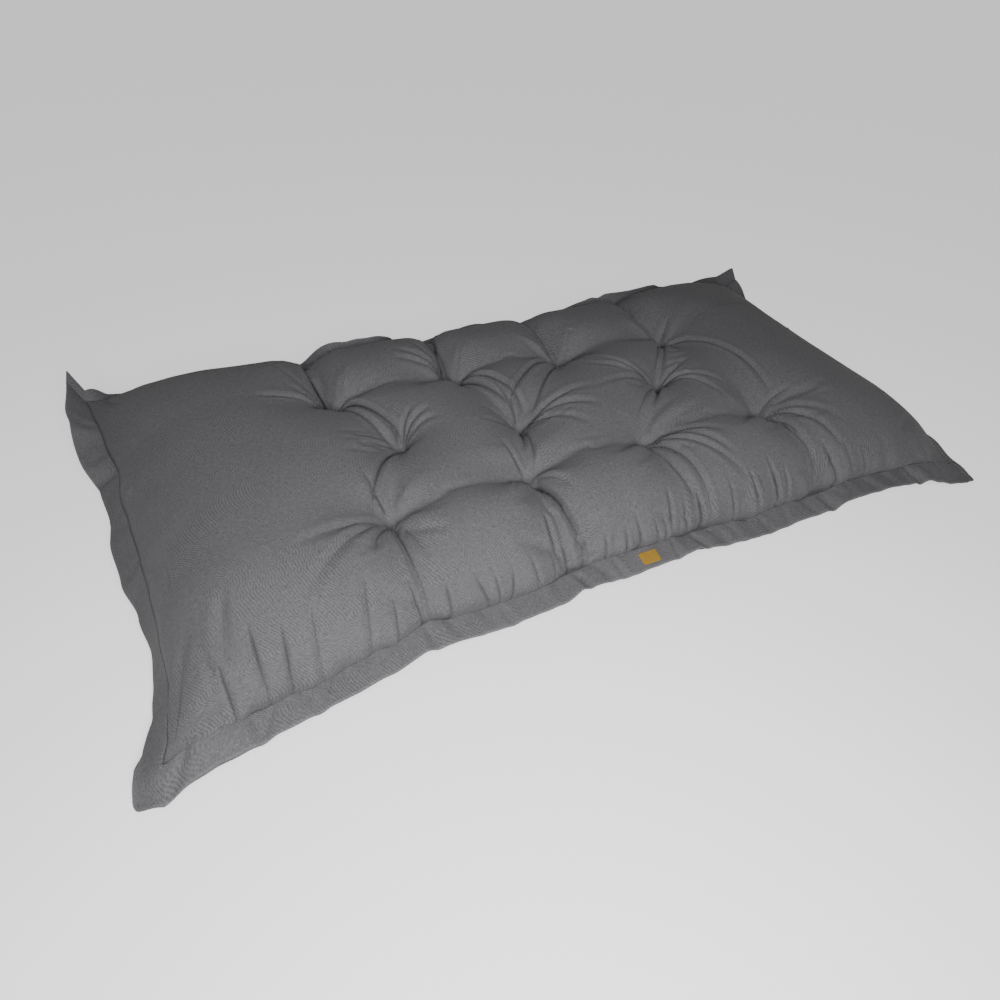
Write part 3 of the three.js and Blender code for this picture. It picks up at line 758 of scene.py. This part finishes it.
def cushionMesh():
    mesh, faces = closedPlate(top, bottom, "cushionCover")
    flatTop, flatUnder = [flatCoordinates(panel).reshape(-1, 2) for panel in (top, bottom)]
    flat = np.concatenate([flatTop, flatUnder])[faces]
    # the narrow band at the edge goes on from the upper panel
    band = slice(2 * (gridU.shape[0] - 1) * (gridU.shape[1] - 1), None)
    flat[band] = flatTop[faces[band] % len(flatTop)]
    flat[band, :2] += 0.001 * form["flangeThickness"]
    layFlat(mesh, flat)
    inside = np.minimum((1 - abs(gridU)) * middleX, (1 - abs(gridV)) * middleY)
    fromSeam = np.maximum(abs(gridA), abs(gridB)) * form["flangeWidth"] - inside
    fields = {"fromSeam": (fromSeam, fromSeam)}
    for name, upper, lower in zip(("creaseAway", "creaseStrength", "tuftPit"), topFields, underFields):
        fields[name] = (overFlange(upper), overFlange(lower))
    for name, (upper, lower) in fields.items():
        values = np.concatenate([upper.ravel(), lower.ravel()]).astype(np.float32)
        mesh.attributes.new(name, "FLOAT", "POINT").data.foreach_set("value", values)
    return mesh


shift = Vector(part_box("cushion")[0]) - Vector(top.reshape(-1, 3).min(0) / 1000)
shift.z = 0
print("shift", shift)


def newPiece(name, mesh):
    mesh.transform(Matrix.Translation(shift))
    piece = bpy.data.objects.new(name, mesh)
    scene.collection.objects.link(piece)
    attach(piece, "root")
    return piece


cover = newPiece("cushionCover", cushionMesh())
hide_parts("cushion")


# materials: a small class that holds one socket, so that maths on sockets reads as maths
class Wire:
    def __init__(self, tree, socket=None):
        self.tree = tree
        self.socket = socket

    def node(self, kind, settings, sockets, output=0):
        made = self.tree.nodes.new(kind)
        for name, value in settings.items():
            setattr(made, name, value)
        for name, value in sockets.items():
            if isinstance(value, Wire):
                self.tree.links.new(value.socket, made.inputs[name])
            else:
                made.inputs[name].default_value = value
        return Wire(self.tree, made.outputs[output])

    def maths(self, operation, *values):
        return self.node("ShaderNodeMath", {"operation": operation}, dict(enumerate(values)))

    def scaled(self, vector, times):
        return self.node("ShaderNodeVectorMath", {"operation": "SCALE"}, {0: vector, "Scale": times})

    def attribute(self, name):
        return self.node("ShaderNodeAttribute", {"attribute_name": name}, {}, 2)

    def noise(self, place, scale, detail=2.0, stretch=(1.0, 1.0, 1.0)):
        drawn = self.node("ShaderNodeVectorMath", {"operation": "MULTIPLY"}, {0: place, 1: stretch})
        return self.node("ShaderNodeTexNoise", {}, {"Vector": drawn, "Scale": scale, "Detail": detail})

    def mix(self, first, second):
        # colours, by this socket
        return self.node("ShaderNodeMix", {"data_type": "RGBA"}, {0: self, 6: first, 7: second}, 2)

    def within(self, low, high):
        # 0 below low, 1 above high, smooth between
        settings = {"interpolation_type": "SMOOTHSTEP"}
        return self.node("ShaderNodeMapRange", settings, {"Value": self, "From Min": low, "From Max": high})

    def bell(self):
        # 1 at 0, falling softly on both sides
        return self.maths("EXPONENT", -(self ** 2.0))

    def bump(self, height, distance, under=None):
        sockets = {"Strength": 1.0, "Distance": distance, "Height": height}
        if under is not None:
            sockets["Normal"] = under
        return self.node("ShaderNodeBump", {}, sockets)

    def __add__(self, other):
        return self.maths("ADD", self, other)

    def __radd__(self, other):
        return self.maths("ADD", other, self)

    def __sub__(self, other):
        return self.maths("SUBTRACT", self, other)

    def __rsub__(self, other):
        return self.maths("SUBTRACT", other, self)

    def __mul__(self, other):
        return self.maths("MULTIPLY", self, other)

    def __rmul__(self, other):
        return self.maths("MULTIPLY", other, self)

    def __truediv__(self, other):
        return self.maths("DIVIDE", self, other)

    def __rtruediv__(self, other):
        return self.maths("DIVIDE", other, self)

    def __pow__(self, other):
        return self.maths("POWER", self, other)

    def __neg__(self):
        return self.maths("MULTIPLY", self, -1.0)


def newMaterial(name):
    material = bpy.data.materials.new(name)
    material.use_nodes = True
    tree = material.node_tree
    return material, Wire(tree), tree.nodes["Principled BSDF"]


def finishMaterial(net, shader, color, roughness, normal, **constants):
    for name, wire in (("Base Color", color), ("Roughness", roughness), ("Normal", normal)):
        net.tree.links.new(wire.socket, shader.inputs[name])
    for name, value in constants.items():
        shader.inputs[name.replace("_", " ")].default_value = value


def clothPlace(net):
    # millimetres along the flat cloth: both together, and each by itself
    place = net.scaled(net.node("ShaderNodeUVMap", {"uv_map": "flat"}, {}), 1000.0)
    x = net.node("ShaderNodeSeparateXYZ", {}, {"Vector": place})
    return place, x, Wire(net.tree, x.socket.node.outputs[1])


fabric = {
    "dark": (0.06, 0.058, 0.063, 1),
    "light": (0.164, 0.159, 0.169, 1),
    "yarn": 1.25,                # between two yarns, in millimetres
    "rib": 2.9,                  # between the faint diagonal ribs of the weave
    "weaveDepth": 0.00022,
    "creaseDepth": 0.0011,
    "creaseShade": 0.78,
    "pitShade": 0.55,
    "seamShade": 0.62,
    "shade": (0.008, 0.008, 0.009, 1),
    "rubbed": (0.3, 0.295, 0.305, 1),
    "fibreTone": 1.5,            # how much each unevenness weighs in the tone, from dark 0 to light 1
    "grainTone": 0.8,
    "weaveTone": 0.14,
    "ribTone": 0.24,
    "dyeTone": 0.25,
    "slubTone": 0.3,
}


def coverMaterial():
    material, net, shader = newMaterial("coverFabric")
    f = fabric
    place, x, y = clothPlace(net)

    # a plain weave: each yarn goes over one and under the next, each with its own thickness
    slubs = (net.noise(place, 0.8, stretch=(0.035, 1.0, 1.0))
             + net.noise(place, 0.8, stretch=(1.0, 0.035, 1.0)))
    step = math.pi / f["yarn"]
    weave = net.maths("SINE", x * step) * net.maths("SINE", y * step) * 0.5 + 0.5
    diagonal = net.maths("SINE", (x * 0.82 + y * 0.57) * (2 * math.pi / f["rib"]))
    rib = diagonal * net.noise(place, 0.018).within(0.32, 0.6)

    # heather: light and dark fibres along both yarns, and a soft unevenness of the dye
    fibreX = net.noise(place, 1.15, 3.0, (0.16, 1.0, 1.0))
    fibreY = net.noise(place, 1.15, 3.0, (1.0, 0.16, 1.0))
    grain = net.noise(place, 0.75, 4.0)
    dye = net.noise(place, 0.012)
    tone = 0.5 + (fibreX - 0.5) * f["fibreTone"] + (fibreY - 0.5) * f["fibreTone"]
    tone = tone + (grain - 0.5) * f["grainTone"] + (weave - 0.5) * f["weaveTone"] + rib * f["ribTone"]
    tone = tone + (dye - 0.5) * f["dyeTone"] + (slubs - 1.0) * f["slubTone"]
    color = tone.within(-0.35, 1.35).mix(f["dark"], f["light"])

    # little light reaches the bottom of the creases, the pits and the seam
    strength = net.attribute("creaseStrength")
    line = (net.attribute("creaseAway") / (0.8 + strength * 1.1)).bell() * strength
    fromSeam = net.attribute("fromSeam")
    shade = 1.0 - line * f["creaseShade"]
    shade = shade * (1.0 - net.attribute("tuftPit") ** 2.0 * f["pitShade"])
    shade = shade * (1.0 - (fromSeam / 1.1).bell() * f["seamShade"])
    color = (1.0 - shade).mix(color, f["shade"])

    # the flange's outer edge is rubbed a little lighter
    edge = form["flangeWidth"]
    rubbed = fromSeam.within(edge - 3.2, edge - 0.2) * (0.3 + 0.5 * grain)
    color = (rubbed * 0.3).mix(color, f["rubbed"])

    weaveHeight = weave * 0.4 + rib * 0.3 + slubs * 0.8 + (fibreX + fibreY) * 0.5
    normal = net.bump(-line, f["creaseDepth"], net.bump(weaveHeight, f["weaveDepth"]))
    finishMaterial(net, shader, color, 0.84 + grain * 0.14, normal, Sheen_Weight=0.08, Sheen_Roughness=0.5)
    return material


cover.data.materials.append(coverMaterial())
print("cover", len(cover.data.polygons), "faces")


# the woven label, on the front flange

label = {
    "along": -1.0,               # its middle along the front, from the cushion's middle
    "width": 25.0,
    "length": 17.6,              # across the flange
    "from": 8.4,                 # its nearer edge, from the seam
    "round": 3.4,
    "clear": 0.35,               # over the flange
    "thickness": 0.9,
    "ribPitch": 1.15,
    "ribHeight": 0.09,
    "pickPitch": 0.55,
    "turn": -1.5,
    "cellsAlong": 132,
    "cellsAcross": 56,
    "stitchInset": 1.3,          # from the label's edge to its stitches
    "stitchHollow": 0.16,        # how far they draw it in
    "stitchSink": 0.02,
    "ringCells": 40,             # along each side of their line
    "dark": (0.26, 0.136, 0.006, 1),
    "light": (0.48, 0.275, 0.014, 1),
}


def onFront(along, out):
    # a place on the top of the front flange, and which way is up there
    seamRow = len(acrossFlange)
    across = np.concatenate([-np.array(acrossFlange)[::-1], [0]])
    rowAt = np.interp(-out / form["frontFlange"], across, np.arange(seamRow + 1))
    colAt = np.interp(along, top[seamRow, core, 0], np.arange(top.shape[1])[core])
    normals = normalsOf(top)
    r, c = rowAt.astype(int), colAt.astype(int)
    tr, tc = (rowAt - r)[..., None], (colAt - c)[..., None]
    both = []
    for field in (top, normals):
        low = field[r, c] * (1 - tc) + field[r, c + 1] * tc
        high = field[r + 1, c] * (1 - tc) + field[r + 1, c + 1] * tc
        both.append(low * (1 - tr) + high * tr)
    return both[0], both[1] / np.linalg.norm(both[1], axis=-1, keepdims=True)


def labelPlan(s, t, inset=0.0):
    # from -1 to 1 both ways: places on the label, and where they come on the flange
    halfWidth, halfLength = label["width"] / 2 - inset, label["length"] / 2 - inset
    a, b = roundedCorner(s * halfWidth, t * halfLength, halfWidth, halfLength, label["round"] - inset * 0.6)
    turn = math.radians(label["turn"])
    along = a * math.cos(turn) - b * math.sin(turn)
    across = a * math.sin(turn) + b * math.cos(turn)
    return a, b, label["along"] + along, label["from"] + label["length"] / 2 - across


def labelMesh():
    lineS, lineT = [np.linspace(-1, 1, label[cells] + 1) for cells in ("cellsAlong", "cellsAcross")]
    s, t = np.meshgrid(lineS, lineT)
    a, b, along, out = labelPlan(s, t)
    place, up = onFront(along, out)
    edge = np.maximum(abs(s), abs(t))
    soft = 1 - 0.5 * np.clip((edge - 0.93) / 0.07, 0, 1) ** 2
    rib = np.cos(2 * math.pi * a / label["ribPitch"]) * label["ribHeight"] * (1 - edge ** 10)
    inset = np.minimum((1 - abs(s)) * label["width"], (1 - abs(t)) * label["length"]) / 2
    hollow = label["stitchHollow"] * np.exp(-(inset - label["stitchInset"]) ** 2 / 0.3)
    thickness = label["thickness"] * soft + rib - hollow
    upper = place + up * (label["clear"] + thickness)[..., None]
    mesh, faces = closedPlate(upper, place + up * label["clear"], "wovenLabel")
    flat = np.stack([a, b], -1).reshape(-1, 2)
    layFlat(mesh, np.tile(flat, (2, 1))[faces] / 1000)
    return mesh


def labelMaterial():
    material, net, shader = newMaterial("labelFabric")
    place, x, y = clothPlace(net)
    fibre = net.noise(place, 2.6, 3.0, (1.0, 0.25, 1.0))
    rib = net.maths("COSINE", x * (2 * math.pi / label["ribPitch"]))
    pick = net.maths("SINE", y * (2 * math.pi / label["pickPitch"]))
    tone = 0.5 + rib * 0.22 + pick * 0.07 + (fibre - 0.5) * 0.9
    color = tone.within(-0.1, 1.1).mix(label["dark"], label["light"])
    normal = net.bump(rib * 0.3 + pick * 0.35 + fibre * 0.6, 0.0002)
    finishMaterial(net, shader, color, 0.62 + fibre * 0.25, normal, Sheen_Weight=0.1)
    return material


wovenLabel = newPiece("wovenLabel", labelMesh())
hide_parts("label")
wovenLabel.data.materials.append(labelMaterial())
print("label laid,", len(wovenLabel.data.polygons), "faces")


# the satin tab, a folded ribbon just outside the right flange's edge

tab = {
    "along": 120.0,              # its middle along the right side
    "width": 29.0,
    "reach": 20.0,               # from its start to the fold
    # clear is the gap between the flange's edge and that start
    "clear": 0.6,
    "ribbon": 0.5,               # thickness of the ribbon
    "gap": 1.5,                  # between the middles of its two layers, at the fold
    "droop": 5.0,
    "wave": 0.8,                 # how far the ribbon waves across its width, at the fold
    "cellsAcross": 40,
    "cellsAlong": 25,            # from the flange to the fold
    "cellsRound": 12,            # round the fold
    "pickPitch": 0.4,
    "dark": (0.006, 0.005, 0.006, 1),
    "light": (0.02, 0.018, 0.019, 1),
    "selvedge": (0.032, 0.03, 0.031, 1),
}


def tabMesh():
    # the ribbon's middle line goes out, round the fold and back; the band follows it across the width
    t = tab
    bend = np.linspace(math.pi / 2, -math.pi / 2, t["cellsRound"] + 1)[1:-1]
    halfGap = t["gap"] / 2
    run = np.linspace(0, t["reach"] - halfGap, t["cellsAlong"] + 1)
    lineX = np.concatenate([run, run[-1] + halfGap * np.cos(bend), run[::-1]])
    opening = 0.35 + 0.65 * ease(run / run[-1])
    lineZ = np.concatenate([halfGap * opening, halfGap * np.sin(bend), -halfGap * opening[::-1]])
    slope = np.stack([np.gradient(lineX), np.gradient(lineZ)], -1)
    side = np.stack([slope[:, 1], -slope[:, 0]], -1) / np.linalg.norm(slope, axis=1, keepdims=True)
    across = np.linspace(-0.5, 0.5, t["cellsAcross"] + 1) * t["width"]
    thin = 1 - 0.5 * np.clip(abs(across) / (t["width"] / 2) * 12 - 11, 0, 1) ** 2
    along = t["along"] + across
    edgeX, edgeTop = [np.interp(along, top[core, -1, 1], top[core, -1, axis]) for axis in (0, 2)]
    edgeUnder = np.interp(along, top[core, -1, 1], bottom[core, -1, 2])
    sag = -t["droop"] * (lineX / t["reach"]) ** 1.6
    wave = t["wave"] * np.sin(across / t["width"] * 4.6 + 0.6)[:, None] * (lineX / t["reach"])
    middle = (edgeTop + edgeUnder)[:, None] / 2 + sag + wave + lineZ
    layers = []
    for way in (1, -1):
        offX, offZ = way * side.T * t["ribbon"] / 2
        x = edgeX[:, None] + t["clear"] + lineX + offX
        y = np.broadcast_to(along[:, None], x.shape)
        layers.append(np.stack([x, y, middle + offZ * thin[:, None]], -1))
    mesh, faces = closedPlate(*layers, "satinTab")
    steps = np.hypot(np.diff(lineX), np.diff(lineZ))
    length = np.concatenate([[0], np.cumsum(steps)])
    flat = np.stack(np.broadcast_arrays(length[None], across[:, None]), -1).reshape(-1, 2)
    layFlat(mesh, np.tile(flat, (2, 1))[faces] / 1000)
    return mesh, length[-1]


def tabMaterial():
    material, net, shader = newMaterial("tabSatin")
    place, along, across = clothPlace(net)
    fibre = net.noise(place, 1.8, 3.0, (0.12, 1.0, 1.0))
    pick = net.maths("SINE", along * (2 * math.pi / tab["pickPitch"]))
    edge = net.maths("ABSOLUTE", across).within(tab["width"] / 2 - 2.2, tab["width"] / 2 - 1.6)
    color = fibre.within(0.2, 0.8).mix(tab["dark"], tab["light"])
    color = (edge * 0.4).mix(color, tab["selvedge"])
    normal = net.bump(pick * 0.2 + fibre * 0.7 + edge * 0.8, 0.00012)
    finishMaterial(net, shader, color, 0.34 + fibre * 0.16 + edge * 0.14, normal, Anisotropic=0.5)
    return material


tabRibbon, ribbonLength = tabMesh()
satinTab = newPiece("satinTab", tabRibbon)
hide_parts("side_tab")
satinTab.data.materials.append(tabMaterial())
print("tab folded, ribbon", round(float(ribbonLength), 1), "long")


# stitches, repeated along plain lines by Geometry Nodes

def stitchTree():
    tree = bpy.data.node_groups.new("stitchRow", "GeometryNodeTree")
    kinds = {"Line": "Geometry", "Pitch": "Float", "Size": "Vector", "Unevenness": "Float",
             "Thread": "Material", "Seed": "Int"}
    for name, kind in kinds.items():
        tree.interface.new_socket(name, in_out="INPUT", socket_type="NodeSocket" + kind)
    tree.interface.new_socket("Stitches", in_out="OUTPUT", socket_type="NodeSocketGeometry")
    net = Wire(tree)
    given = net.node("NodeGroupInput", {}, {})
    given = {socket.name: Wire(tree, socket) for socket in given.socket.node.outputs}
    curve = net.node("GeometryNodeMeshToCurve", {}, {"Mesh": given["Line"]})
    curve = net.node("GeometryNodeResampleCurve", {"mode": "LENGTH"},
                     {"Curve": curve, "Length": given["Pitch"]})
    bead = net.node("GeometryNodeMeshUVSphere", {}, {"Segments": 6, "Rings": 5, "Radius": 0.5})
    bead = net.node("GeometryNodeSetShadeSmooth", {}, {"Geometry": bead})
    along = net.node("GeometryNodeInputTangent", {}, {})
    turned = net.node("FunctionNodeAlignRotationToVector", {"axis": "X"}, {"Vector": along})

    def unevenly(low, high):
        sockets = {"Min": low, "Max": high, "Seed": given["Seed"]}
        return net.node("FunctionNodeRandomValue", {"data_type": "FLOAT"}, sockets, 1)

    turn = net.node("ShaderNodeCombineXYZ", {}, {"Z": unevenly(-0.12, 0.12)})
    turned = net.node("FunctionNodeRotateRotation", {"rotation_space": "LOCAL"},
                      {"Rotation": turned, "Rotate By": turn})
    size = net.scaled(given["Size"], unevenly(1.0 - given["Unevenness"], 1.0 + given["Unevenness"]))
    placed = net.node("GeometryNodeInstanceOnPoints", {}, {
        "Points": curve, "Instance": bead, "Rotation": turned, "Scale": size})
    real = net.node("GeometryNodeRealizeInstances", {}, {"Geometry": placed})
    done = net.node("GeometryNodeSetMaterial", {}, {"Geometry": real, "Material": given["Thread"]})
    out = tree.nodes.new("NodeGroupOutput")
    tree.links.new(done.socket, out.inputs["Stitches"])
    return tree


def threadMaterial(name, dark, light):
    material, net, shader = newMaterial(name)
    place = net.scaled(net.node("ShaderNodeTexCoord", {}, {}, 3), 1000.0)
    twist = net.node("ShaderNodeTexWave", {"bands_direction": "DIAGONAL"},
                     {"Vector": place, "Scale": 0.9, "Distortion": 1.2})
    twist = net.node("ShaderNodeRGBToBW", {}, {"Color": twist})
    fibre = net.noise(place, 1.4)
    color = (twist * 0.6 + fibre * 0.4).mix(dark, light)
    finishMaterial(net, shader, color, 0.6 + fibre * 0.2, net.bump(twist, 0.00012))
    return material


flangeSewing = {
    "pitch": 0.0038,
    "size": (0.003, 0.0007, 0.0005),
    "rise": 0.12,                # of the stitches' middles over the cloth
    "seed": 3,
    "thread": "coverThread",
    "dark": (0.08, 0.078, 0.082, 1),
    "light": (0.22, 0.216, 0.225, 1),
}
labelSewing = {
    "pitch": 0.0023,
    "size": (0.0017, 0.0005, 0.0004),
    "seed": 5,
    "thread": "labelThread",
    "dark": (0.3, 0.165, 0.012, 1),
    "light": (0.56, 0.35, 0.035, 1),
}
stitches = stitchTree()


def stitchPiece(name, lines, sewing):
    # lines are closed rings of points; the row of stitches follows each
    points, edges = [], []
    for line in lines:
        start = len(points)
        points += (np.asarray(line) / 1000).tolist()
        edges += [(start + k, start + (k + 1) % len(line)) for k in range(len(line))]
    path = bpy.data.meshes.new(name + "Path")
    path.from_pydata(points, edges, [])
    holder = bpy.data.objects.new(name + "Path", path)
    scene.collection.objects.link(holder)
    modifier = holder.modifiers.new("stitches", "NODES")
    modifier.node_group = stitches
    values = {"Pitch": sewing["pitch"], "Size": sewing["size"], "Unevenness": 0.1, "Seed": sewing["seed"],
              "Thread": threadMaterial(sewing["thread"], sewing["dark"], sewing["light"])}
    for socket in stitches.interface.items_tree:
        if socket.name in values:
            modifier[socket.identifier] = values[socket.name]
    evaluated = holder.evaluated_get(bpy.context.evaluated_depsgraph_get())
    plain = bpy.data.meshes.new_from_object(evaluated)
    plain.name = name
    holder.modifiers.clear()
    bpy.data.objects.remove(holder)
    print(name, len(plain.polygons), "faces")
    return newPiece(name, plain)


def flangeRing(panel, rise):
    # the line along the flange where it is stitched, all round
    k = len(acrossFlange) - 1 - acrossFlange.index(stitchedAt)
    lifted = panel + rise * normalsOf(panel)
    low, last = lifted[k, k:-k - 1], lifted[-k - 1, k:-k - 1]
    start, end = lifted[k:-k - 1, k], lifted[k:-k - 1, -k - 1]
    return np.concatenate([low[:-1], end[:-1], last[:0:-1], start[:0:-1]])


def labelRing():
    # the line of the label's stitches
    line = np.linspace(-1, 1, label["ringCells"] + 1)[:-1]
    ones = np.ones(len(line))
    s = np.concatenate([line, ones, -line, -ones])
    t = np.concatenate([-ones, line, ones, -line])
    along, out = labelPlan(s, t, label["stitchInset"])[2:]
    place, up = onFront(along, out)
    return place + up * (label["clear"] + label["thickness"] - label["stitchSink"])


rings = [flangeRing(top, flangeSewing["rise"]), flangeRing(bottom, -flangeSewing["rise"])]
stitchPiece("flangeStitches", rings, flangeSewing)
labelStitches = stitchPiece("labelStitches", [labelRing()], labelSewing)


# floor, light and camera

studio = {
    "floorHalf": 30,
    "floorHeight": -0.0005,      # a hair below the cushion
    "paper": (0.8, 0.8, 0.8, 1),
    "paperGlow": 0.8,
    "air": 0.06,
    "aim": (0, 0, 0.05),
    "key": ((-0.477, -0.937, 0.764), 0.4, 18.8),     # place, size, power
    "top": ((0.4, 1.4, 2.2), 2.0, 0.92),
}

around = [(-1, -1), (1, -1), (1, 1), (-1, 1)]
floorCorners = [(x * studio["floorHalf"], y * studio["floorHalf"], studio["floorHeight"]) for x, y in around]
floorMesh = bpy.data.meshes.new("floor")
floorMesh.from_pydata(floorCorners, [], [(0, 1, 2, 3)])
floor = bpy.data.objects.new("floor", floorMesh)
scene.collection.objects.link(floor)
paper, paperShader = newMaterial("paper")[::2]
paperShader.inputs["Base Color"].default_value = studio["paper"]
paperShader.inputs["Emission Color"].default_value = (1, 1, 1, 1)
paperShader.inputs["Emission Strength"].default_value = studio["paperGlow"]
floorMesh.materials.append(paper)
floor.visible_diffuse = False     # the paper throws no light back up on the cloth

world = bpy.data.worlds.new("studio")
scene.world = world
world.use_nodes = True
world.node_tree.nodes["Background"].inputs["Color"].default_value = (1, 1, 1, 1)
world.node_tree.nodes["Background"].inputs["Strength"].default_value = studio["air"]


def softbox(name):
    place, size, power = studio[name]
    lamp = bpy.data.lights.new(name, "AREA")
    lamp.size = size
    lamp.energy = power
    holder = bpy.data.objects.new(name, lamp)
    holder.location = place
    holder.rotation_euler = (Vector(studio["aim"]) - Vector(place)).to_track_quat("-Z", "Y").to_euler()
    scene.collection.objects.link(holder)


softbox("key")
softbox("top")

view = {"heading": -28.05, "height": 40.22, "roll": 2.81, "distance": 1.008, "lens": 25.0,
        "target": (-0.092, -0.040, 0.0)}


def placeCamera():
    heading, height, roll = [math.radians(view[key]) for key in ("heading", "height", "roll")]
    level = math.cos(height)
    back = Vector((math.sin(heading) * level, -math.cos(heading) * level, math.sin(height)))
    right = (-back).cross(Vector((0, 0, 1))).normalized()
    up = right.cross(-back)
    sideways = math.cos(roll) * right + math.sin(roll) * up
    upright = -math.sin(roll) * right + math.cos(roll) * up
    camera = bpy.data.objects.new("camera", bpy.data.cameras.new("camera"))
    camera.data.lens = view["lens"]
    camera.data.clip_start = 0.01
    place = Matrix((sideways, upright, back)).transposed().to_4x4()
    place.translation = Vector(view["target"]) + shift + back * view["distance"]
    camera.matrix_world = place
    scene.collection.objects.link(camera)
    scene.camera = camera


placeCamera()
print("floor, lamps and camera placed")
